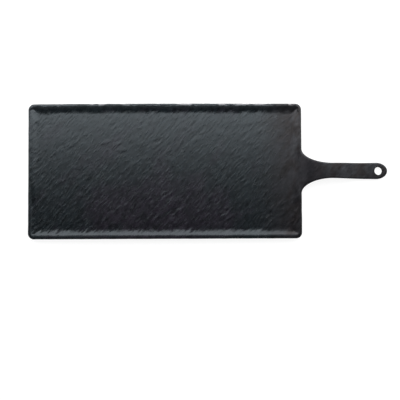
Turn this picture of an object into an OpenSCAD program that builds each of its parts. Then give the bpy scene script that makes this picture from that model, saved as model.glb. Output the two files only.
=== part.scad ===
// Serving tray with a long handle, moulded in melamine with a slate look.
// One moulding, gently arched along its length, on four push-in silicone feet.
// Millimetres, Z up, X along the handle, origin on the table under the middle.

/* [Tray] */
// Length of the tray without its handle
tray_length = 402; // [320:1:480]
// Width across the tray
tray_width = 199; // [160:1:280]
// Height of the outer edge
edge_height = 10; // [9:0.5:14]
// Corner radius seen from above
corner_radius = 9; // [6:0.5:16]
// Radius of the rounded lower outer edge
lower_edge_radius = 2.5; // [1:0.1:4]
// Radius of the rounded outer edge of the lip
lip_radius = 2.4; // [0.5:0.1:3]
// Radius of the arch that the whole tray is bowed to
arch_radius = 5400; // [4500:100:9000]

/* [Well] */
// Depth of the well below the lip
well_depth = 4; // [3:0.1:5]
// Width of the lip, with its rounded outer edge
lip_width = 3.8; // [3.2:0.1:5]
// Width of the hollow slope between lip and floor
slope_width = 11.5; // [8:0.5:18]

/* [Underside] */
// Width of the flat band around the recessed underside
band_width = 14; // [10:0.5:20]
// Depth of the recess in the underside
recess_depth = 1.5; // [0.5:0.1:2]

/* [Handle] */
// Reach of the handle beyond the tray
handle_length = 128; // [120:1:150]
// Thickness of the handle
handle_thickness = 5.6; // [4.5:0.1:7]
// Width at the narrow neck
neck_width = 22.4; // [18:0.1:26]
// Width at the grip end
grip_width = 24.2; // [20:0.1:28]
// Width of the flare where the handle leaves the tray
flare_width = 66; // [50:1:90]
// Length of the flare
flare_length = 45; // [36:1:55]
// Height of the handle's crest above the lip
crest_rise = 6.6; // [4:0.1:10]
// Distance of the crest from the tray
crest_reach = 38; // [32:0.5:42]
// Distance from the tray to where the grip end lies flat
dip_reach = 100; // [92:0.5:106]
// Gap between the grip end and the table
tip_gap = 0.4; // [0.2:0.1:2]
// Length of the rounded grip end
tip_round = 16; // [12:0.5:18]
// Radius along the handle's edges
handle_edge_radius = 1.8; // [1:0.1:2.2]
// Diameter of the hanging hole
hole_diameter = 12; // [8:0.5:13]
// Distance of the hanging hole from the grip end
hole_setback = 13; // [12:0.5:16]

/* [Feet] */
// Height of the tray's lowest edge above the table
foot_stand = 4; // [3:0.1:6]
// Diameter of a foot
foot_diameter = 14; // [10:0.5:16]
// Distance of the feet from the tray's edges
foot_inset = 28; // [26:0.5:40]
// Diameter of the round pad moulded above each foot
pad_diameter = 20; // [18:0.5:24]
// Depth of the seat that a foot sits in
seat_depth = 1; // [0.6:0.1:1.4]
// Diameter of a foot's stem
stem_diameter = 6; // [4:0.5:8]
// Length of a foot's stem
stem_length = 2.2; // [1.5:0.1:2.4]
// Radius around a foot's lower edge
foot_edge_radius = 1.5; // [0.5:0.1:2]
// Gap between a foot and the moulding around it
foot_clearance = 0.05; // [0.03:0.01:0.2]

/* [Hidden] */
$fn = 64;
// Overhang that makes a cut pass clean through a face
through = 1;
// Fine steps along the long arch
arch_fn = 1440;
overall_length = tray_length + handle_length;
far_end = -overall_length / 2;
handle_end = far_end + tray_length;
tray_middle = far_end + tray_length / 2;
// The arch turns about a line far below the tray
arch_z = foot_stand - sqrt(arch_radius * arch_radius - tray_length * tray_length / 4);
arch_angle = 2 * asin((tray_length / 2 + through) / arch_radius);
floor_height = edge_height - well_depth;
lip_z = foot_stand + edge_height;
// The slope is an arc that starts just under the floor, so it crosses it cleanly
slope_sink = 0.15;
slope_drop = well_depth + slope_sink;
slope_radius = (slope_width * slope_width + slope_drop * slope_drop) / (2 * slope_drop);
floor_half = tray_width / 2 - lip_width - slope_width;
slope_angle = asin((tray_length / 2 - lip_width - slope_width) / (arch_radius + floor_height));
slope_centre = floor_height - slope_sink + slope_radius;
slope_x = (arch_radius + slope_centre) * sin(slope_angle);
slope_z = arch_z + (arch_radius + slope_centre) * cos(slope_angle);
// Steps around a rounded outer edge, and how far the round-cornered plate stands clear of it
edge_steps = 4;
edge_turns = [for (step = [0 : edge_steps]) 90 * step / edge_steps];
plate_ease = 0.1;
plate_height = 2 * lip_z;
// The lip's round at the two ends is set just above the arch, so it crosses it cleanly
lip_raise = 0.1;
// Heights along the handle, and the two arcs of its swan neck
crest_z = lip_z + crest_rise;
crest_middle_z = crest_z - handle_thickness / 2;
dip_middle_z = tip_gap + handle_thickness / 2;
swan_drop = crest_middle_z - dip_middle_z;
swan_run = dip_reach - crest_reach;
swan_angle = 2 * atan(swan_drop / swan_run);
swan_radius = swan_run / sin(swan_angle) / 2;
outer_radius = swan_radius + handle_thickness / 2;
inner_radius = swan_radius - handle_thickness / 2;
swan_middle = (crest_reach + dip_reach) / 2;
swan_shift = handle_thickness / 2 * sin(swan_angle);
root_radius = (crest_reach * crest_reach + crest_rise * crest_rise) / (2 * crest_rise);
// Stations along the handle: the first lies inside the lip, the last just short of the grip end
root_share = 0.6;
root_bury = lip_width * root_share;
neck_steps = 34;
tip_steps = 9;
tip_start = handle_length - tip_round;
last_turn = 86;
// Steps around a handle edge, and the most that it takes of the half width and of the thickness
corner_steps = 4;
edge_side_share = 0.9;
edge_thickness_share = 0.45;
// Feet
foot_x = [far_end + foot_inset, handle_end - foot_inset];
foot_y = tray_width / 2 - foot_inset;
seat_z = under_z(foot_x[0]) + seat_depth;

// Height of the tray's arched underside at a place along X
function under_z(x) = arch_z + sqrt(arch_radius * arch_radius - (x - tray_middle) * (x - tray_middle));

// Height of an arc above or below its centre, at a distance along X from it
function arc(radius, distance) = sqrt(radius * radius - distance * distance);

// Top of the handle: root arc, crest arc, dip arc, then flat
function top_z(u) =
    u < crest_reach ? crest_z - root_radius + arc(root_radius, crest_reach - u)
    : u < swan_middle + swan_shift ? crest_middle_z - swan_radius + arc(outer_radius, u - crest_reach)
    : u < dip_reach ? dip_middle_z + swan_radius - arc(inner_radius, dip_reach - u)
    : dip_middle_z + handle_thickness / 2;

// Underside of the handle: it starts at the tray's lower edge and follows the same arcs
function bottom_z(u) =
    u < swan_middle - swan_shift
        ? max(foot_stand, crest_middle_z - swan_radius + arc(inner_radius, crest_reach - u))
    : u < dip_reach ? dip_middle_z + swan_radius - arc(outer_radius, dip_reach - u)
    : dip_middle_z - handle_thickness / 2;

// Half width of the handle: hollow flare, slow taper, rounded end
function half_width(u) =
    u <= 0 ? flare_width / 2
    : u < flare_length
        ? flare_width / 2
            - (flare_width - neck_width) / 2 * sqrt(1 - pow(1 - u / flare_length, 2))
    : u < tip_start
        ? neck_width / 2 + (grip_width - neck_width) / 2 * (u - flare_length) / (tip_start - flare_length)
    : grip_width / 2 * sqrt(1 - pow((u - tip_start) / tip_round, 2));

// How far the end of the grip is rounded off above and below
function end_round(u) =
    u < handle_length - handle_edge_radius ? 0
    : handle_edge_radius - arc(handle_edge_radius, u - handle_length + handle_edge_radius);

// One ring of points around the handle
function ring(u) =
    let (
        top = top_z(u) - end_round(u),
        bottom = bottom_z(u) + end_round(u),
        half = half_width(u),
        edge = min(handle_edge_radius, half * edge_side_share, (top - bottom) * edge_thickness_share)
    )
    [
        for (quarter = [0 : 3])
            for (step = [0 : corner_steps])
                let (
                    turn = 90 * quarter + 90 * step / corner_steps,
                    side = quarter == 0 || quarter == 3 ? 1 : -1,
                    level = quarter < 2 ? top - edge : bottom + edge
                )
                [handle_end + u, side * (half - edge) + edge * cos(turn), level + edge * sin(turn)]
    ];

// Sweeps a cross-section along the arch: X of the section is radius, Y runs across the tray
module along_arch() {
    translate([tray_middle, 0, arch_z])
        rotate([90, 0, 0])
            rotate([0, 0, 90 - arch_angle / 2])
                rotate_extrude(angle = arch_angle, $fn = arch_fn)
                    children();
}

// Lower and upper round of an outer edge, as points from the underside to the top
function lower_round(half, bottom) =
    let (radius = lower_edge_radius)
    [for (turn = edge_turns) [half - radius * (1 - sin(turn)), bottom + radius * (1 - cos(turn))]];
function lip_round(half, top) =
    let (radius = lip_radius)
    [for (turn = edge_turns) [half - radius * (1 - cos(turn)), top - radius * (1 - sin(turn))]];

// A right-hand outline closed with its mirror image
function both_sides(points) =
    concat(points, [for (i = [len(points) - 1 : -1 : 0]) [-points[i][0], points[i][1]]]);

// Plate seen from above, with round corners
module round_plate(length, width, radius, height) {
    linear_extrude(height = height) {
        square([length - 2 * radius, width], center = true);
        square([length, width - 2 * radius], center = true);
        for (x = [-1, 1])
            for (y = [-1, 1])
                translate([x * (length / 2 - radius), y * (width / 2 - radius)])
                    circle(r = radius);
    }
}

// Cross-section of the bare slab, with its outer edges rounded
module slab_section() {
    half = tray_width / 2;
    outline = both_sides(concat(lower_round(half, 0), lip_round(half, edge_height)));
    polygon([for (point = outline) [arch_radius + point[1], point[0]]]);
}

// Side profile of the bare slab, with the same rounds at both ends
module slab_profile() {
    half = tray_length / 2;
    polygon(both_sides(concat(
        lower_round(half, foot_stand),
        lip_round(half, lip_z + lip_raise),
        [[half - lip_radius - through, plate_height]]
    )));
}

// Cross-section of the well: flat floor with a hollow slope up to each lip
module well_section() {
    intersection() {
        translate([arch_radius + floor_height, -tray_width / 2])
            square([well_depth + through, tray_width]);
        union() {
            translate([arch_radius, -floor_half])
                square([edge_height + 2 * through, 2 * floor_half]);
            for (side = [-1, 1])
                translate([arch_radius + slope_centre, side * floor_half])
                    circle(r = slope_radius);
        }
    }
}

// Arched slab with round corners, before anything is hollowed out
module slab() {
    intersection() {
        along_arch()
            slab_section();
        translate([tray_middle, tray_width / 2 + through, 0])
            rotate([90, 0, 0])
                linear_extrude(height = tray_width + 2 * through)
                    slab_profile();
        translate([tray_middle, 0, 0])
            round_plate(tray_length + plate_ease, tray_width + plate_ease, corner_radius, plate_height);
    }
}

// The well's section along the arch, ended by the same hollow slope
module well() {
    intersection() {
        along_arch()
            well_section();
        union() {
            translate([tray_middle - slope_x, -tray_width / 2, 0])
                cube([2 * slope_x, tray_width, plate_height]);
            for (side = [-1, 1])
                translate([tray_middle + side * slope_x, tray_width / 2, slope_z])
                    rotate([90, 0, 0])
                        cylinder(r = slope_radius, h = tray_width);
        }
    }
}

// Shallow recess that leaves a flat band around the underside
module recess() {
    intersection() {
        along_arch()
            translate([arch_radius - through, -tray_width / 2])
                square([recess_depth + through, tray_width]);
        translate([tray_middle, 0, 0])
            round_plate(tray_length - 2 * band_width, tray_width - 2 * band_width, corner_radius, lip_z);
    }
}

// The handle, drawn through its rings from inside the lip to the rounded end
module handle() {
    us = concat(
        [for (step = [0 : neck_steps]) -root_bury + (tip_start + root_bury) * step / neck_steps],
        [for (step = [1 : tip_steps]) tip_start + tip_round * sin(last_turn * step / tip_steps)]
    );
    count = 4 * (corner_steps + 1);
    last = len(us) - 1;
    polyhedron(
        points = [for (u = us) each ring(u)],
        faces = concat(
            [[for (i = [0 : count - 1]) i]],
            [[for (i = [count - 1 : -1 : 0]) last * count + i]],
            [
                for (row = [0 : last - 1])
                    for (i = [0 : count - 1])
                        let (next = (i + 1) % count)
                        [
                            row * count + next,
                            row * count + i,
                            (row + 1) * count + i,
                            (row + 1) * count + next
                        ]
            ]
        )
    );
}

// Round pads that fill the recess above the feet
module foot_pads() {
    for (x = foot_x)
        for (y = [-foot_y, foot_y])
            translate([x, y, under_z(x)])
                cylinder(d = pad_diameter, h = recess_depth + through);
}

// Seats and blind stem holes for the feet
module foot_sockets() {
    for (x = foot_x)
        for (y = [-foot_y, foot_y])
            translate([x, y, 0]) {
                cylinder(d = foot_diameter + 2 * foot_clearance, h = seat_z);
                cylinder(d = stem_diameter + 2 * foot_clearance, h = seat_z + stem_length + foot_clearance);
            }
}

// The whole moulding: dish, handle and pads in one piece
module tray_body() {
    color("#2f3336")
        difference() {
            union() {
                difference() {
                    slab();
                    well();
                    recess();
                }
                foot_pads();
                handle();
            }
            foot_sockets();
            translate([overall_length / 2 - hole_setback, 0, -through])
                cylinder(d = hole_diameter, h = tip_gap + handle_thickness + 2 * through);
        }
}

// A foot turned from its own half section, with its stem up in the moulding
module foot(x, y) {
    radius = foot_diameter / 2;
    color("#26282a")
        translate([x, y, 0])
            rotate_extrude() {
                translate([0, foot_edge_radius])
                    square([radius, seat_z - foot_edge_radius]);
                square([radius - foot_edge_radius, seat_z]);
                translate([radius - foot_edge_radius, foot_edge_radius])
                    circle(r = foot_edge_radius);
                square([stem_diameter / 2, seat_z + stem_length]);
            }
}

module foot_front_left() {
    foot(foot_x[0], -foot_y);
}

module foot_front_right() {
    foot(foot_x[1], -foot_y);
}

module foot_back_left() {
    foot(foot_x[0], foot_y);
}

module foot_back_right() {
    foot(foot_x[1], foot_y);
}

tray_body();
foot_front_left();
foot_front_right();
foot_back_left();
foot_back_right();
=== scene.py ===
import math

import bpy
import numpy as np
from mathutils import Matrix, Vector, noise


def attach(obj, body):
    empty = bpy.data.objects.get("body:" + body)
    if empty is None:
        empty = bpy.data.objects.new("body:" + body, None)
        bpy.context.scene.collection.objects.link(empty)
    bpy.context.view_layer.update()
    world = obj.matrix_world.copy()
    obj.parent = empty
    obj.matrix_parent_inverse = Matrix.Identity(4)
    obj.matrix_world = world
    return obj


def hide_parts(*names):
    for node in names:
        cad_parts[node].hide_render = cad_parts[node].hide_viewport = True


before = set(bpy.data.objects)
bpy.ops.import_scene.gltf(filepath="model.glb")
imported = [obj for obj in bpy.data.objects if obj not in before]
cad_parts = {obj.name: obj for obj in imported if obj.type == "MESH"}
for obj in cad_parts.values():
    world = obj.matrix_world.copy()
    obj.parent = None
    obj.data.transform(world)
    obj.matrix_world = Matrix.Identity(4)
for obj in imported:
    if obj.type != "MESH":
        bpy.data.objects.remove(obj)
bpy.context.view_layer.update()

# Dish and handle
# The dish and its swan-neck handle are one compression moulding in charcoal
# melamine. The mould copies split slate, so the floor has its flakes and the slopes
# have chisel marks, while the handle is left nearly smooth.
MM = 0.001
far_end, handle_root = -265.0, 137.0
dish_half = 99.5
dish_corner = 9.0
stand = 4.0
edge_height = 10.0
arch_radius = 5400.0
well_depth = 4.0
lip_width = 3.8
lip_round = 3.2
foot_round = 2.5
slope_width = 11.3
slope_power, riser_power = 2, 8
riser_share = 0.4
recess_depth, recess_edge = 1.5, 1.0

dish_middle = (far_end + handle_root) / 2
dish_reach = (handle_root - far_end) / 2
arch_drop = math.sqrt(arch_radius**2 - dish_reach**2)
slope_foot = lip_width + slope_width


def arch(x):
    """Height of the bowed underside above the table."""
    return stand - arch_drop + np.sqrt(arch_radius**2 - (x - dish_middle) ** 2)


def ease(value, start, end):
    """0 before start, 1 after end, and a smooth change between them."""
    t = np.clip((value - start) / (end - start), 0, 1)
    return t * t * (3 - 2 * t)


def edge_distance(x, y):
    """How far a place on the dish lies in from its round-cornered outline."""
    from_end = np.minimum(x - far_end, handle_root - x)
    from_side = dish_half - np.abs(y)
    in_corner = np.hypot(np.maximum(dish_corner - from_end, 0), np.maximum(dish_corner - from_side, 0))
    rounded = (from_end < dish_corner) & (from_side < dish_corner)
    return np.where(rounded, dish_corner - in_corner, np.minimum(from_end, from_side))


def slope_depth(inset, softness):
    """Depth of the well below the lip: a short riser over a hollow slope, softened at the ends."""
    climb = np.clip((slope_foot - inset) / slope_width, 0, 1)
    crisp = (1 - riser_share) * climb**slope_power + riser_share * climb**riser_power
    return well_depth * (1 - crisp - softness * (ease(climb, 0, 1) - crisp))


# The handle: a hollow flare, a root arc up to the crest, a swan neck down to a flat grip
flare_half, flare_length = 33.0, 45.0
neck_half, grip_half = 11.2, 12.1
tip_start, tip_length = 112.0, 16.0
handle_edge = 1.8
handle_thick = 5.6
handle_crown, crown_run = 0.05, (0, 40)
crest_z, crest_u, dip_u = 20.6, 38.0, 100.0
grip_low = 0.4
root_blend = 1.0

lip_z = stand + edge_height
crest_middle = crest_z - handle_thick / 2
grip_middle = grip_low + handle_thick / 2
swan_angle = 2 * math.atan((crest_middle - grip_middle) / (dip_u - crest_u))
swan_radius = (dip_u - crest_u) / math.sin(swan_angle) / 2
swan_outer, swan_inner = swan_radius + handle_thick / 2, swan_radius - handle_thick / 2
swan_middle = (crest_u + dip_u) / 2
swan_shift = handle_thick / 2 * math.sin(swan_angle)
root_radius = (crest_u**2 + (crest_z - lip_z) ** 2) / (2 * (crest_z - lip_z))


def arc(radius, run):
    """Height of a round arc over its centre, a run away from it."""
    return np.sqrt(np.maximum(radius**2 - run**2, 0))


def handle_top(u):
    """Height of the handle's top, u millimetres out from the dish."""
    root = crest_z - root_radius + arc(root_radius, crest_u - u)
    crest = crest_middle - swan_radius + arc(swan_outer, u - crest_u)
    dip = grip_middle + swan_radius - arc(swan_inner, dip_u - u)
    flat = grip_middle + handle_thick / 2
    swan = np.where(u < swan_middle + swan_shift, crest, np.where(u < dip_u, dip, flat))
    return np.where(u < crest_u, root, swan)


def handle_under(u):
    """Height of the handle's underside, which grows out of the dish's lower edge."""
    crest = crest_middle - swan_radius + arc(swan_inner, crest_u - u)
    rooted = (crest + stand + np.sqrt((crest - stand) ** 2 + root_blend**2)) / 2
    crest = np.where(u < crest_u / 2, rooted, crest)
    dip = grip_middle + swan_radius - arc(swan_outer, dip_u - u)
    flat = grip_middle - handle_thick / 2
    return np.where(u < swan_middle - swan_shift, crest, np.where(u < dip_u, dip, flat))


# Net of the top face: columns run along the tray and its handle, rows run across
cols, rows = 336, 168
slope_lines, crowding = 14, 1.35
flare_row = 28
flare_cols, neck_cols, tip_cols = 36, 52, 14
flare_bow = 1.5

first_row, last_row = rows // 2 - flare_row, rows // 2 + flare_row
all_cols = cols + flare_cols + neck_cols + tip_cols
insets = np.append(lip_round, lip_width + slope_width * np.linspace(0, 1, slope_lines) ** crowding)
col_x = np.interp(
    np.arange(cols + 1),
    [*range(slope_lines + 1), *range(cols - slope_lines, cols + 1)],
    [*(far_end + insets), *(handle_root - insets[::-1])],
)
row_y = np.interp(
    np.arange(rows + 1),
    [*range(slope_lines + 1), first_row, last_row, *range(rows - slope_lines, rows + 1)],
    [*(insets - dish_half), -flare_half, flare_half, *(dish_half - insets[::-1])],
)
dish_x, dish_y = np.meshgrid(col_x, row_y, indexing="ij")


def round_ring(reach, along, radius):
    """Moves a point of a square-cornered ring onto the same ring with a round corner."""
    straight = reach - radius
    path = along / (2 * reach) * (2 * straight + math.pi * radius / 2)
    if path <= straight:
        return reach, path
    turn = (path - straight) / radius
    return straight + radius * math.cos(turn), straight + radius * math.sin(turn)


def round_corner(end, hand):
    """Rounds the net at one corner of the dish, ring by ring from the slope's foot to the lip."""
    inner_i = slope_lines if end < 0 else cols - slope_lines
    inner_j = slope_lines if hand < 0 else rows - slope_lines
    for a in range(slope_lines + 1):
        for b in range(slope_lines + 1):
            i, j = inner_i + end * a, inner_j + hand * b
            out_x, out_y = abs(col_x[i] - col_x[inner_i]), abs(row_y[j] - row_y[inner_j])
            reach, along = max(out_x, out_y), min(out_x, out_y)
            if reach > 0:
                radius = max(0, dish_corner - slope_foot + reach)
                far, near = round_ring(reach, along, radius)
                dish_x[i, j] = col_x[inner_i] + end * (far if out_x >= out_y else near)
                dish_y[i, j] = row_y[inner_j] + hand * (near if out_x >= out_y else far)


for end in (-1, 1):
    for hand in (-1, 1):
        round_corner(end, hand)

across = row_y[first_row : last_row + 1] / flare_half
handle_x, handle_y = [], []
flare_out = []
for k in range(1, flare_cols + 1):
    turn = math.pi / 2 * k / flare_cols
    outward = Vector(((flare_half - neck_half) * math.cos(turn), flare_length * math.sin(turn)))
    outward.normalize()
    edge = lip_round + (handle_edge - lip_round) * k / flare_cols
    edge_u = flare_length * (1 - math.cos(turn)) - edge * outward.x
    edge_y = flare_half - (flare_half - neck_half) * math.sin(turn) - edge * outward.y
    centre_u = -lip_round + (flare_length + lip_round) * k / flare_cols
    handle_x.append(handle_root + centre_u + (edge_u - centre_u) * np.abs(across) ** flare_bow)
    handle_y.append(across * edge_y)
    flare_out.append(outward)
for k in range(1, neck_cols + 1):
    half = neck_half + (grip_half - neck_half) * k / neck_cols - handle_edge
    neck_u = flare_length + (tip_start - flare_length) * k / neck_cols
    handle_x.append(np.full_like(across, handle_root + neck_u))
    handle_y.append(across * half)
for k in range(1, tip_cols + 1):
    a = k / tip_cols
    handle_x.append(handle_root + tip_start + (tip_length - handle_edge) * a * np.sqrt(1 - across**2 / 2))
    handle_y.append((grip_half - handle_edge) * across * math.sqrt(1 - a * a / 2))
top_x = np.concatenate([dish_x.ravel(), np.concatenate(handle_x)])
top_y = np.concatenate([dish_y.ravel(), np.concatenate(handle_y)])


def top_point(i, j):
    """Number of the top face's point in column i and row j."""
    if i <= cols:
        return i * (rows + 1) + j
    return (cols + 1) * (rows + 1) + (i - cols - 1) * len(across) + j - first_row


def slate_noise(a, b, seed, octaves=2):
    """Random height at a place. The seed is a third coordinate, and each octave halves the size."""
    return noise.fractal(Vector((a, b, seed)), 1.0, 2.0, octaves)


def cloud(long, wide, seed, octaves=2, angle=0.0, x=top_x, y=top_y):
    """Soft random field over the top face, with patches of one length and width laid at an angle."""
    c, s = math.cos(angle), math.sin(angle)
    a, b = (x * c + y * s) / long, (y * c - x * s) / wide
    return np.array([slate_noise(p, q, seed, octaves) for p, q in zip(a, b)])


# Zones of the top face, with the stretches over which each one fades into the next
handle_skin_run, handle_skin_half = (-16, 4), (22, 40)
end_fade, soft_rows = (0, 16), (-55, -15)
well_start = (lip_width - 0.6, lip_width + 2.5)
slope_end = (slope_foot - 5, slope_foot + 2)
lip_end = (lip_width, lip_width + 4)
back_rows = (40, 90)

out_u = top_x - handle_root
on_dish = edge_distance(np.minimum(top_x, handle_root), top_y)
inset = np.where(out_u < -lip_round, on_dish, np.maximum(-out_u, 0))
on_handle = ease(out_u, *handle_skin_run) * (1 - ease(np.abs(top_y), *handle_skin_half))
in_well = ease(inset, *well_start) * (1 - on_handle)
on_slope = in_well * (1 - ease(inset, *slope_end))
on_lip = (1 - ease(inset, *lip_end)) * (1 - on_handle)
past_mitre = np.abs(top_x - dish_middle) - dish_reach - np.abs(top_y) + dish_half
soft_end = ease(past_mitre, *end_fade) * ease(top_y, *soft_rows)

# Flakes broken off the lip, most of them along the back edge
chip_length, chip_width = 11, 4
chip_gain, chip_start, chip_limit = 2.2, 0.13, 0.3
chip_least = 0.14
chip_far_run, chip_near_run = (4, 130), (4, 16)


def chip_depth(x, y):
    """Depth of the flakes at a place on the lip."""
    along_back = ease(x - far_end, *chip_far_run) * ease(handle_root - x, *chip_near_run)
    flaked = chip_least + (1 - chip_least) * ease(y, *back_rows) * along_back
    depth = chip_gain * slate_noise(x / chip_length, y / chip_width, seed=18.8) - chip_start
    return flaked * min(max(depth, 0), chip_limit)


# The back slope eats into the lip, which leaves a keener edge between the flakes
keen_length, keen_width = 8, 30
keen_reach, keen_start, keen_limit = 1.3, 0.3, 0.8
keen_rows = (80, 92)


def keen_edge(x, y):
    """How far the back slope eats into the lip at a place."""
    wander = slate_noise(x / keen_length, y / keen_width, seed=35.2)
    return keen_reach * min(max(wander + keen_start, 0), keen_limit) * ease(y, *keen_rows)


# The slopes: their edges wander in plan, the front one is cut along the split and the back one is ragged
split = math.radians(52)
scallop_broad, scallop_fine = 1.2, 0.25
scallop_run, scallop_calm = (lip_width, slope_foot - 3), 0.7
cut_reach, cut_rows = 2.2, (55, 80)
ragged_reach = 1.5
root_rise, root_run, root_half = 0.4, (-14, -3), (14, 44)

scallop = scallop_broad * cloud(long=26, wide=26, seed=5.3, octaves=3)
scallop = scallop + scallop_fine * cloud(long=9, wide=9, seed=8.1)
cuts = cut_reach * cloud(long=18, wide=4.5, seed=41.7, angle=split) * ease(-top_y, *cut_rows)
scallop = (scallop + cuts) * ease(inset, *scallop_run) * (1 - scallop_calm * soft_end)
ragged = ragged_reach * np.maximum(cloud(long=9, wide=9, seed=24.3), 0) * ease(top_y, *back_rows)
keen = np.array([keen_edge(x, y) for x, y in zip(top_x, top_y)])
worn_inset = inset + (scallop - ragged + keen) * (1 - on_handle)
dish_top = arch(np.minimum(top_x, handle_root)) + edge_height - slope_depth(worn_inset, soft_end)
to_handle = root_rise * ease(out_u, *root_run) * (1 - ease(np.abs(top_y), *root_half))
dish_top = dish_top + to_handle * (handle_top(np.minimum(out_u, 0)) - dish_top)
crown = np.concatenate([np.zeros(dish_x.size), np.tile(across**2, len(handle_x))])
top_z = np.where(out_u < 0, dish_top, handle_top(out_u))
top_z = top_z - handle_crown * crown * ease(out_u, *crown_run)

# The floor: strokes and stepped flakes along the split, strong in patches and towards the front
warp_reach, warp_size = 7, 34
stroke_height, stair_height, stair_lean = 0.17, 0.055, 0.035
stair_pitch, stair_riser = 0.24, (0.3, 0.7)
patch_least, patch_edge = 0.3, (-0.3, 0.3)
near_handle, near_handle_calm = (60, 115), 0.4
front_rows, front_least = (25, 70), 0.6
back_foot_rows, back_foot_calm = (79, 87), 0.7

bent_x = top_x + warp_reach * cloud(warp_size, warp_size, seed=1.4)
bent_y = top_y + warp_reach * cloud(warp_size, warp_size, seed=2.9)
stroke = cloud(long=11, wide=3.0, seed=9.4, angle=split, x=bent_x, y=bent_y)
flake = cloud(long=30, wide=9, seed=3.1, octaves=3, angle=split, x=bent_x, y=bent_y) / stair_pitch
step = np.floor(flake)
stair = step + ease(flake - step, *stair_riser)
patch = ease(cloud(long=34, wide=24, seed=6.7, angle=split), *patch_edge)
patch = patch_least + (1 - patch_least) * patch
patch = patch * (1 - near_handle_calm * ease(top_x, *near_handle))
patch = patch * (front_least + ease(-top_y, *front_rows))
patch = patch * (1 - back_foot_calm * ease(top_y, *back_foot_rows))
cleft = patch * (stroke_height * stroke + stair_height * stair - stair_lean * flake)

# Chisel marks on the slopes, a gutter at their foot, a wavy lip and a faint ripple on the handle
chisel_height, chisel_calm = 0.15, 0.8
back_chisel_height, back_chisel_rows = 0.15, (60, 85)
gutter_depth, gutter_end = 0.06, (slope_foot - 4, slope_foot + 12)
wave_height, wave_limit = 0.25, 0.05
ripple_broad, ripple_fine = 0.05, 0.02
ripple_cols, ripple_in_well = (70, 115), 0.6

chisel = chisel_height * cloud(long=13, wide=13, seed=12.6) * (1 - chisel_calm * soft_end)
back_chisel = cloud(long=8, wide=5, seed=38.4, angle=split) * ease(top_y, *back_chisel_rows)
chisel = chisel + back_chisel_height * back_chisel
gutter = gutter_depth * (1 - ease(inset, *gutter_end))
lip_wave = np.minimum(wave_height * cloud(long=18, wide=18, seed=15.2), wave_limit)
chip = np.array([chip_depth(x, y) for x, y in zip(top_x, top_y)])
top_z = top_z + in_well * (cleft - gutter) + on_slope * chisel + on_lip * (lip_wave - chip)
ripple = ripple_broad * cloud(long=16, wide=10, seed=21.5)
ripple = ripple + ripple_fine * cloud(long=5, wide=5, seed=29.7)
top_z = top_z + np.maximum(on_handle, ripple_in_well * in_well * ease(top_x, *ripple_cols)) * ripple

# Walk around the outline, with the way out of the moulding at each point
outline = [(i, 0) for i in range(cols)] + [(cols, j) for j in range(first_row)]
outline += [(i, first_row) for i in range(cols, all_cols)]
outline += [(all_cols, j) for j in range(first_row, last_row)]
outline += [(i, last_row) for i in range(all_cols, cols, -1)]
outline += [(cols, j) for j in range(last_row, rows)]
outline += [(i, rows) for i in range(cols, 0, -1)] + [(0, j) for j in range(rows, 0, -1)]


def way_out(i, j):
    """Outward direction, upper and lower edge radius at a point of the outline."""
    x, y = top_x[top_point(i, j)], top_y[top_point(i, j)]
    if i <= cols and not (i == cols and first_row <= j <= last_row):
        past_x = x - np.clip(x, far_end + dish_corner, handle_root - dish_corner)
        past_y = y - np.clip(y, dish_corner - dish_half, dish_half - dish_corner)
        if past_x and past_y:
            return Vector((past_x, past_y)).normalized(), lip_round, foot_round
        if i in (0, cols):
            return Vector((math.copysign(1, past_x), 0)), lip_round, foot_round
        return Vector((0, math.copysign(1, past_y))), lip_round, foot_round
    hand = 1 if j == last_row else -1
    k = i - cols
    if k <= flare_cols:
        way = flare_out[k - 1] if k else Vector((1, 0))
        part = k / flare_cols
        upper = lip_round + (handle_edge - lip_round) * part
        lower = foot_round + (handle_edge - foot_round) * part
        return Vector((way.x, hand * way.y)), upper, lower
    if k <= flare_cols + neck_cols:
        return Vector((0, hand)), handle_edge, handle_edge
    tip = (x - handle_root - tip_start) / (tip_length - handle_edge), y / (grip_half - handle_edge)
    return Vector(tip).normalized(), handle_edge, handle_edge


def under_z(x, y):
    """Height of the underside: a band around a shallow recess, then the handle."""
    u = x - handle_root
    if u > -slope_foot and abs(y) < flare_half:
        return float(handle_under(np.float64(u)))
    x = min(x, handle_root)
    sunk = ease(edge_distance(x, y), slope_foot, slope_foot + recess_edge)
    return float(arch(x) + recess_depth * sunk)


# The outer edge: a worn bevel in shares of its radius out and down, a layered wall, a round lower edge
bevel = [(0.20, 0.02), (0.45, 0.08), (0.70, 0.17), (0.88, 0.27), (0.97, 0.38), (1.0, 0.52)]
round_steps, wall_steps = 4, 5
worn_run = (-4, 10)
wall_wear = 0.35
layer_length, layer_height = 16, 1.8


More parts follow.
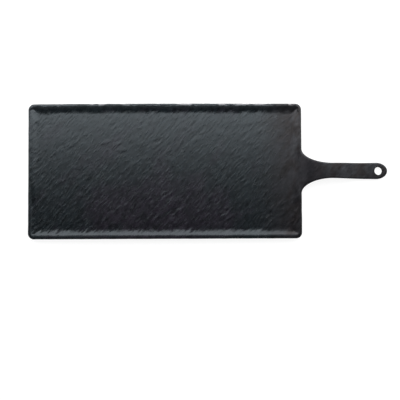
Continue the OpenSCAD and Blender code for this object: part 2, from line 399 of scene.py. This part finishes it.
def edge_strand(i, j):
    """Points from a place on the outline down the outer edge to the underside."""
    way, upper, lower = way_out(i, j)
    x, y, z = points[top_point(i, j)]
    rim_x, rim_y = x + way.x * upper, y + way.y * upper
    worn = 1 - ease(x - handle_root, *worn_run)
    eaten = keen_edge(rim_x, rim_y) * worn
    lip_sink = slope_depth(upper + eaten, 0)
    path = []
    for out_share, down_share in bevel:
        out = upper * out_share
        path.append((out, z - upper * down_share + lip_sink - slope_depth(upper - out + eaten, 0)))
    low, wall_top = under_z(rim_x, rim_y), path[-1][1]
    for s in range(1, wall_steps + 1):
        path.append((upper, wall_top + (low + lower - wall_top) * s / wall_steps))
    for s in range(1, round_steps + 1):
        turn = math.pi / 2 * s / round_steps
        path.append((upper - lower * (1 - math.cos(turn)), low + lower * (1 - math.sin(turn))))
    strand = [top_point(i, j)]
    for n, (out, height) in enumerate(path):
        if n < len(bevel):
            chipped = worn * (chip_depth(x + way.x * out, y + way.y * out) - chip_depth(x, y))
            height -= chipped
            out -= max(chipped, 0) * out / upper
        layer = slate_noise(x / layer_length, y / layer_length, height / layer_height)
        worn_here = worn * math.sin(math.pi * (n + 1) / (len(path) + 1))
        out -= worn_here * wall_wear * (0.5 + 0.5 * layer)
        strand.append(len(points))
        points.append((x + way.x * out, y + way.y * out, height))
    return strand


points = [tuple(p) for p in np.stack([top_x, top_y, top_z], 1)]
faces = []
for i in range(all_cols):
    low, high = (0, rows) if i < cols else (first_row, last_row)
    for j in range(low, high):
        faces.append([top_point(i, j), top_point(i + 1, j), top_point(i + 1, j + 1), top_point(i, j + 1)])
strands = [edge_strand(i, j) for i, j in outline]
for strand, after in zip(strands, strands[1:] + strands[:1]):
    for s in range(len(strand) - 1):
        faces.append([strand[s + 1], after[s + 1], after[s], strand[s]])

# Underside: every fourth line of the same net, and the two lines that shape the recess
coarse = 4
recess_line = slope_lines + 1
under_cols = sorted({*range(0, all_cols, coarse), all_cols, recess_line, cols - recess_line})
under_rows = sorted({*range(0, rows + 1, coarse), recess_line, rows - recess_line})
under = {place: strand[-1] for place, strand in zip(outline, strands)}
place_in_outline = {place: n for n, place in enumerate(outline)}


def under_point(i, j):
    """Number of the underside's point in column i and row j, made when first asked for."""
    if (i, j) not in under:
        x, y, _ = points[top_point(i, j)]
        under[i, j] = len(points)
        points.append((x, y, under_z(x, y)))
    return under[i, j]


def along_edge(here, there):
    """Points from one corner of an underside face up to the next, with the outline's points between."""
    between = [under_point(*here)]
    if here in place_in_outline and there in place_in_outline:
        a, b = place_in_outline[here], place_in_outline[there]
        back = (a - b) % len(outline)
        if back <= coarse:
            between += [strands[(a - k) % len(outline)][-1] for k in range(1, back)]
    return between


for i, i_next in zip(under_cols, under_cols[1:]):
    low, high = (0, rows) if i < cols else (first_row, last_row)
    lines = [j for j in under_rows if low <= j <= high]
    for j, j_next in zip(lines, lines[1:]):
        ring = [(i, j), (i, j_next), (i_next, j_next), (i_next, j)]
        faces.append([p for a, b in zip(ring, ring[1:] + ring[:1]) for p in along_edge(a, b)])

tray_mesh = bpy.data.meshes.new("slate_tray")
tray_mesh.from_pydata([(x * MM, y * MM, z * MM) for x, y, z in points], [], faces)
tray_mesh.validate()
tray = bpy.data.objects.new("slate_tray", tray_mesh)
bpy.context.scene.collection.objects.link(tray)


def turned(name, profile, centre, sides=96):
    """A round piece turned from its half section, given as pairs of radius and height."""
    ring_points, ring_faces = [], []
    rings = []
    for radius, height in profile:
        if radius == 0:
            rings.append([len(ring_points)] * sides)
            ring_points.append((centre[0] * MM, centre[1] * MM, height * MM))
            continue
        rings.append(list(range(len(ring_points), len(ring_points) + sides)))
        for k in range(sides):
            turn = 2 * math.pi * k / sides
            x, y = centre[0] + radius * math.cos(turn), centre[1] + radius * math.sin(turn)
            ring_points.append((x * MM, y * MM, height * MM))
    for low, high in zip(rings, rings[1:]):
        for k in range(sides):
            face = [low[k], low[(k + 1) % sides], high[(k + 1) % sides], high[k]]
            ring_faces.append(list(dict.fromkeys(face)))
    mesh = bpy.data.meshes.new(name)
    mesh.from_pydata(ring_points, [], ring_faces)
    piece = bpy.data.objects.new(name, mesh)
    bpy.context.scene.collection.objects.link(piece)
    return piece


def join(body, tool, how):
    """Adds a tool's shape to the moulding or cuts it away, and removes the tool."""
    work = body.modifiers.new(how, "BOOLEAN")
    work.operation, work.object, work.solver = how, tool, "MANIFOLD"
    shaped = bpy.data.meshes.new_from_object(body.evaluated_get(bpy.context.evaluated_depsgraph_get()))
    body.modifiers.clear()
    before, body.data = body.data, shaped
    shaped.name = before.name
    bpy.data.meshes.remove(before)
    bpy.data.objects.remove(tool)


# Pads under the dish, each with a seat and a blind hole for a foot
foot_places = {
    "front_left": (-237.0, -71.5),
    "front_right": (109.0, -71.5),
    "back_left": (-237.0, 71.5),
    "back_right": (109.0, 71.5),
}
pad_radius, pad_ease, pad_bite = 10.0, 0.6, 1.0
foot_radius, stem_radius, foot_gap = 7.0, 3.0, 0.05
seat_depth, stem_length = 1.0, 2.2
overcut = 1.0
for place in foot_places.values():
    low = float(arch(np.float64(place[0])))
    pad_top = low + recess_depth + pad_bite
    pad = [(0, low), (pad_radius - pad_ease, low), (pad_radius, low + pad_ease)]
    pad += [(pad_radius, pad_top), (0, pad_top)]
    join(tray, turned("pad", pad, place), "UNION")
    seat = low + seat_depth
    socket_radius, stem_hole = foot_radius + foot_gap, stem_radius + foot_gap
    stem_top = seat + stem_length + foot_gap
    socket = [(0, -overcut), (socket_radius, -overcut), (socket_radius, seat)]
    socket += [(stem_hole, seat), (stem_hole, stem_top), (0, stem_top)]
    join(tray, turned("socket", socket, place), "DIFFERENCE")

# Hanging hole through the grip, with a small eased rim on both sides
hole_x, hole_radius, hole_ease, cutter_flare = 252.0, 6.0, 0.25, 0.55
hole_low, hole_high = grip_low, grip_low + handle_thick
cutter_radius = hole_radius + cutter_flare
rim_turns = [math.radians(a) for a in (75, 55, 35, 15)]
rim = [(hole_radius + hole_ease * (1 - math.cos(t)), hole_ease * (1 - math.sin(t))) for t in rim_turns]
hole = [(0, hole_low - overcut), (cutter_radius, hole_low - overcut)]
hole += [(radius, hole_low + depth) for radius, depth in rim]
hole += [(radius, hole_high - depth) for radius, depth in rim[::-1]]
hole += [(cutter_radius, hole_high + overcut), (0, hole_high + overcut)]
join(tray, turned("hole", hole, (hole_x, 0.0)), "DIFFERENCE")
tray_crease = math.radians(30)
tray.data.polygons.foreach_set("use_smooth", [True] * len(tray.data.polygons))
tray.data.set_sharp_from_angle(angle=tray_crease)

# Where a flake has broken off the lip, the break is paler than the moulded skin
pale_from, pale_below, pale_inset = (0.05, 0.25), (0.9, 1.8), (1.6, 2.8)
pale_root_run = (0, 6)
spots = np.empty(len(tray.data.vertices) * 3)
tray.data.vertices.foreach_get("co", spots)
spot_x, spot_y, spot_z = spots.reshape(-1, 3).T / MM
flaked = np.array([chip_depth(x, y) for x, y in zip(spot_x, spot_y)])
below_lip = arch(np.minimum(spot_x, handle_root)) + edge_height - spot_z
broken = ease(flaked, *pale_from) * (1 - ease(below_lip, *pale_below))
broken = broken * ease(handle_root - spot_x, *pale_root_run)
broken = broken * (1 - ease(edge_distance(spot_x, spot_y), *pale_inset))
tray.data.attributes.new("broken", "FLOAT", "POINT").data.foreach_set("value", broken)


def shader(name):
    """A new material, with its nodes and its surface shader."""
    finish = bpy.data.materials.new(name)
    finish.use_nodes = True
    return finish, finish.node_tree, finish.node_tree.nodes["Principled BSDF"]


def drawn_noise(tree, size, detail, roughness, angle=0.0):
    """A noise field with patches of a given size in metres, laid at an angle."""
    place = tree.nodes.new("ShaderNodeTexCoord")
    lay = tree.nodes.new("ShaderNodeMapping")
    lay.vector_type = "TEXTURE"
    lay.inputs["Rotation"].default_value = (0, 0, angle)
    lay.inputs["Scale"].default_value = size
    field = tree.nodes.new("ShaderNodeTexNoise")
    field.inputs["Scale"].default_value = 1.0
    field.inputs["Detail"].default_value = detail
    field.inputs["Roughness"].default_value = roughness
    tree.links.new(place.outputs["Object"], lay.inputs["Vector"])
    tree.links.new(lay.outputs["Vector"], field.inputs["Vector"])
    return field.outputs["Fac"]


def soft_spot(tree, centre, reach):
    """A round patch that fades from 1 at its centre to 0 at its rim."""
    place = tree.nodes.new("ShaderNodeTexCoord")
    lay = tree.nodes.new("ShaderNodeMapping")
    lay.vector_type = "TEXTURE"
    lay.inputs["Location"].default_value = centre
    lay.inputs["Scale"].default_value = reach
    spot = tree.nodes.new("ShaderNodeTexGradient")
    spot.gradient_type = "SPHERICAL"
    tree.links.new(place.outputs["Object"], lay.inputs["Vector"])
    tree.links.new(lay.outputs["Vector"], spot.inputs["Vector"])
    return spot.outputs["Fac"]


def weighted(tree, field, weight, base):
    """A base field with a share of another field added."""
    total = tree.nodes.new("ShaderNodeMath")
    total.operation = "MULTIPLY_ADD"
    total.inputs[1].default_value = weight
    tree.links.new(field, total.inputs[0])
    tree.links.new(base, total.inputs[2])
    return total.outputs[0]


def spread(tree, field, span, to=(0.0, 1.0), smooth=False):
    """A field stretched from one span of values to another, and held at its ends."""
    stretch = tree.nodes.new("ShaderNodeMapRange")
    stretch.interpolation_type = "SMOOTHSTEP" if smooth else "LINEAR"
    for name, value in zip(("From Min", "From Max", "To Min", "To Max"), (*span, *to)):
        stretch.inputs[name].default_value = value
    tree.links.new(field, stretch.inputs["Value"])
    return stretch.outputs["Result"]


def two_tones(tree, field, first, second, span=(0.0, 1.0)):
    """A colour that runs from the first tone to the second as the field crosses its span."""
    ramp = tree.nodes.new("ShaderNodeValToRGB")
    for stop, position, tone in zip(ramp.color_ramp.elements, span, (first, second)):
        stop.position = position
        stop.color = tone
    tree.links.new(field, ramp.inputs["Fac"])
    return ramp.outputs["Color"]


def blended(tree, share, first, second, how="MIX"):
    """One colour laid over another by a share. Each of the three is a field or one fixed value."""
    mix = tree.nodes.new("ShaderNodeMix")
    mix.data_type, mix.blend_type = "RGBA", how
    for name, value in (("Factor", share), ("A", first), ("B", second)):
        if isinstance(value, bpy.types.NodeSocket):
            tree.links.new(value, mix.inputs[name])
        else:
            mix.inputs[name].default_value = value
    return mix.outputs["Result"]


def raised(tree, field, distance, strength, over=None):
    """Fine relief from a field, laid over other relief if there is any."""
    relief = tree.nodes.new("ShaderNodeBump")
    relief.inputs["Distance"].default_value = distance
    relief.inputs["Strength"].default_value = strength
    tree.links.new(field, relief.inputs["Height"])
    if over:
        tree.links.new(over, relief.inputs["Normal"])
    return relief.outputs["Normal"]


# Charcoal melamine: a cool mottled grey, warmer and duller at the handle, pale where it is broken; painted
# shade at the handle's root
melamine, tree, skin = shader("charcoal_melamine")
skin.inputs["IOR"].default_value = 1.47
violet_grey, teal_grey = (0.0122, 0.0093, 0.0144, 1), (0.0067, 0.0093, 0.0112, 1)
warm_grey, pale_break = (0.0102, 0.0091, 0.0106, 1), (0.205, 0.200, 0.210, 1)
dark_filler, clear_resin = (0.25, 0.25, 0.25, 1), (1.0, 1.0, 1.0, 1)
blue_sheen, painted_root_shade = (0.89, 1.0, 1.07, 1), (0.42, 0.42, 0.48, 1)
clean_sheen, stained_sheen = (0.86, 0.89, 0.96, 1), (0.60, 0.55, 0.54, 1)
blue_bloom = (0.2, 0.65, 1.0, 1)
skin.inputs["Sheen Weight"].default_value = 0.13
skin.inputs["Sheen Roughness"].default_value = 0.4
skin.inputs["Sheen Tint"].default_value = blue_bloom

object_place = tree.nodes.new("ShaderNodeTexCoord")
along = tree.nodes.new("ShaderNodeSeparateXYZ")
tree.links.new(object_place.outputs["Object"], along.inputs["Vector"])
handle_end = spread(tree, along.outputs["X"], span=(0.06, 0.13), smooth=True)

violet_side = soft_spot(tree, centre=(-0.085, -0.065, 0), reach=(0.13, 0.085, 1))
tint = drawn_noise(tree, size=(0.06, 0.03, 0.06), detail=4, roughness=0.6, angle=split)
tint = weighted(tree, violet_side, weight=-0.5, base=tint)
tone = two_tones(tree, tint, violet_grey, teal_grey, span=(0.30, 0.50))
tone = blended(tree, handle_end, tone, warm_grey)
filler = drawn_noise(tree, size=(0.012, 0.006, 0.012), detail=3, roughness=0.6, angle=split)
filler = two_tones(tree, filler, dark_filler, clear_resin, span=(0.35, 0.65))
tone = blended(tree, 1.0, tone, filler, how="MULTIPLY")
break_share = tree.nodes.new("ShaderNodeAttribute")
break_share.attribute_name = "broken"
tone = blended(tree, break_share.outputs["Fac"], tone, pale_break)
tree.links.new(tone, skin.inputs["Base Color"])

stain = drawn_noise(tree, size=(0.022, 0.014, 0.022), detail=3, roughness=0.6, angle=split)
stain = two_tones(tree, stain, clean_sheen, stained_sheen, span=(0.42, 0.60))
sheen = blended(tree, handle_end, blue_sheen, stain)
# Painted shade: a round spot dims the reflection where the handle rises from the dish
root_shade_spot = soft_spot(tree, centre=(0.149, 0, 0), reach=(0.028, 0.06, 1))
sheen = blended(tree, root_shade_spot, sheen, painted_root_shade)
tree.links.new(sheen, skin.inputs["Specular Tint"])

polish = drawn_noise(tree, size=(0.012, 0.004, 0.012), detail=3, roughness=0.6, angle=split)
polish = spread(tree, polish, span=(0.3, 0.7), to=(0.24, 0.29))
polish = weighted(tree, handle_end, weight=0.04, base=polish)
tree.links.new(polish, skin.inputs["Roughness"])

flakes = drawn_noise(tree, size=(0.010, 0.0024, 0.010), detail=2, roughness=0.5, angle=split)
flakes = spread(tree, flakes, span=(0.48, 0.66), smooth=True)
ridges = raised(tree, flakes, distance=0.00012, strength=0.6)
grain = drawn_noise(tree, size=(0.0009, 0.0006, 0.0009), detail=2, roughness=0.5, angle=split)
tree.links.new(raised(tree, grain, distance=0.00002, strength=0.2, over=ridges), skin.inputs["Normal"])

# Painted shade on the hole's wall: a dark base and almost no reflection stand in for the shade inside the
# hole; its roughness is the drill's open grain
hole_wall_shade, tree, skin = shader("hole_wall_painted_shade")
skin.inputs["Specular IOR Level"].default_value = 0.05
skin.inputs["Roughness"].default_value = 0.9
shaded_wall_dark, shaded_wall_light = (0.0030, 0.0031, 0.0034, 1), (0.0080, 0.0081, 0.0086, 1)
drill_marks = drawn_noise(tree, size=(0.0015, 0.0015, 0.0003), detail=3, roughness=0.6)
tree.links.new(two_tones(tree, drill_marks, shaded_wall_dark, shaded_wall_light), skin.inputs["Base Color"])

wall_reach = (hole_radius + hole_ease / 2) * MM
wall_lean = 0.8
tray.data.materials.clear()
tray.data.materials.append(melamine)
tray.data.materials.append(hole_wall_shade)
# The faces of the hole's wall take the painted-shade material
for face in tray.data.polygons:
    off_axis = math.hypot(face.center.x - hole_x * MM, face.center.y)
    face.material_index = int(off_axis < wall_reach and abs(face.normal.z) < wall_lean)
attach(tray, "root")
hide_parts("tray_body")

# Feet
# Four silicone feet, each pressed by its stem into a socket in the underside.
# They are moulded in one shot, with a hollow centre and a gripping ring below.
silicone, tree, skin = shader("dark_silicone")
skin.inputs["IOR"].default_value = 1.41
dark_rubber, dusty_rubber = (0.016, 0.017, 0.018, 1), (0.030, 0.031, 0.033, 1)
bloom = drawn_noise(tree, size=(0.004, 0.004, 0.004), detail=3, roughness=0.6)
tree.links.new(two_tones(tree, bloom, dark_rubber, dusty_rubber), skin.inputs["Base Color"])
matt = drawn_noise(tree, size=(0.002, 0.002, 0.002), detail=2, roughness=0.5)
tree.links.new(spread(tree, matt, span=(0.0, 1.0), to=(0.6, 0.8)), skin.inputs["Roughness"])
dust = drawn_noise(tree, size=(0.0006, 0.0006, 0.0006), detail=2, roughness=0.5)
tree.links.new(raised(tree, dust, distance=0.0001, strength=0.4), skin.inputs["Normal"])

foot_edge, edge_steps, stem_ease = 1.5, 7, 0.5
hollow_depth, hollow_radius, hollow_rim = 0.35, 3.0, 3.5
groove_depth, groove_inner, groove_middle, groove_outer = 0.3, 4.3, 4.6, 4.9
foot_sides, foot_crease = 64, math.radians(40)
for name, place in foot_places.items():
    seat = float(arch(np.float64(place[0]))) + seat_depth
    stem_top = seat + stem_length
    section = [(0, hollow_depth), (hollow_radius, hollow_depth), (hollow_rim, 0)]
    section += [(groove_inner, 0), (groove_middle, groove_depth), (groove_outer, 0)]
    for turn in np.radians(np.linspace(0, 90, edge_steps)):
        radius = foot_radius - foot_edge * (1 - math.sin(turn))
        section.append((radius, foot_edge * (1 - math.cos(turn))))
    section += [(foot_radius, seat - stem_ease), (foot_radius - stem_ease, seat), (stem_radius, seat)]
    section += [(stem_radius, stem_top - stem_ease), (stem_radius - stem_ease, stem_top), (0, stem_top)]
    foot = turned("grip_foot_" + name, section, place, foot_sides)
    foot.data.polygons.foreach_set("use_smooth", [True] * len(foot.data.polygons))
    foot.data.set_sharp_from_angle(angle=foot_crease)
    foot.data.materials.append(silicone)
    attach(foot, "root")
    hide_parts("foot_" + name)

# Studio and view
# A white sheet of paper under the tray, one wide softbox close behind it, a dim
# fill in front, and a camera hung almost straight above the dish.
paper_half = 4.0
paper_corners = [(-1, -1), (1, -1), (1, 1), (-1, 1)]
floor_mesh = bpy.data.meshes.new("paper_floor")
floor_mesh.from_pydata([(x * paper_half, y * paper_half, 0) for x, y in paper_corners], [], [[0, 1, 2, 3]])
floor = bpy.data.objects.new("paper_floor", floor_mesh)
bpy.context.scene.collection.objects.link(floor)
paper, tree, skin = shader("white_paper")
skin.inputs["Base Color"].default_value = (0.2, 0.2, 0.2, 1)
skin.inputs["Roughness"].default_value = 0.9
skin.inputs["Specular IOR Level"].default_value = 0.1
skin.inputs["Emission Color"].default_value = (1, 1, 1, 1)
ray = tree.nodes.new("ShaderNodeLightPath")
shown = ray.outputs["Is Camera Ray"]
for kind in ("Is Glossy Ray", "Is Transmission Ray"):
    either = tree.nodes.new("ShaderNodeMath")
    either.operation = "MAXIMUM"
    tree.links.new(shown, either.inputs[0])
    tree.links.new(ray.outputs[kind], either.inputs[1])
    shown = either.outputs[0]
lift = tree.nodes.new("ShaderNodeMath")
lift.operation = "MULTIPLY"
lift.inputs[1].default_value = 0.9
tree.links.new(shown, lift.inputs[0])
tree.links.new(lift.outputs[0], skin.inputs["Emission Strength"])
floor_mesh.materials.append(paper)

# The room is white at the horizon and fades to black overhead
world = bpy.data.worlds.new("white_room")
bpy.context.scene.world = world
world.use_nodes = True
tree = world.node_tree
room = tree.nodes["Background"]
room.inputs["Color"].default_value = (1, 1, 1, 1)
view = tree.nodes.new("ShaderNodeTexCoord")
view_parts = tree.nodes.new("ShaderNodeSeparateXYZ")
tree.links.new(view.outputs["Generated"], view_parts.inputs["Vector"])
overhead = spread(tree, view_parts.outputs["Z"], span=(0.0, 0.5), to=(1.0, 0.0), smooth=True)
tree.links.new(overhead, room.inputs["Strength"])


def hang_light(name, width, depth, power, place):
    """A wide lamp that faces straight down, hidden from the camera but not from reflections."""
    light = bpy.data.lights.new(name, "AREA")
    light.shape, light.size, light.size_y = "RECTANGLE", width, depth
    light.energy = power
    lamp = bpy.data.objects.new(name, light)
    bpy.context.scene.collection.objects.link(lamp)
    lamp.location = place
    lamp.visible_camera = False


hang_light("softbox", width=4.1, depth=1.9, power=82, place=(0.25, 1.14, 1.1))
hang_light("front_fill", width=4.6, depth=2.0, power=7.5, place=(0.0, -1.5, 1.1))


def swung(first, second, angle):
    """Two square directions, both turned by an angle in their plane."""
    c, s = math.cos(angle), math.sin(angle)
    return first * c - second * s, second * c + first * s


lens = bpy.data.cameras.new("overhead_camera")
lens.sensor_width, lens.lens = 36.0, 66.7
camera = bpy.data.objects.new("overhead_camera", lens)
bpy.context.scene.collection.objects.link(camera)
camera_place = (-0.0241, -0.0834, 1.1)
tip, swing, roll = 0.0376, 0.0102, 0.0037
right, up, ahead = Vector((1, 0, 0)), Vector((0, 1, 0)), Vector((0, 0, -1))
up, ahead = swung(up, ahead, tip)
right, ahead = swung(right, ahead, swing)
right, up = swung(right, up, roll)
facing = Matrix((right, up, -ahead)).transposed().to_4x4()
camera.matrix_world = Matrix.Translation(camera_place) @ facing
bpy.context.scene.camera = camera
bpy.context.scene.view_settings.view_transform = "Standard"
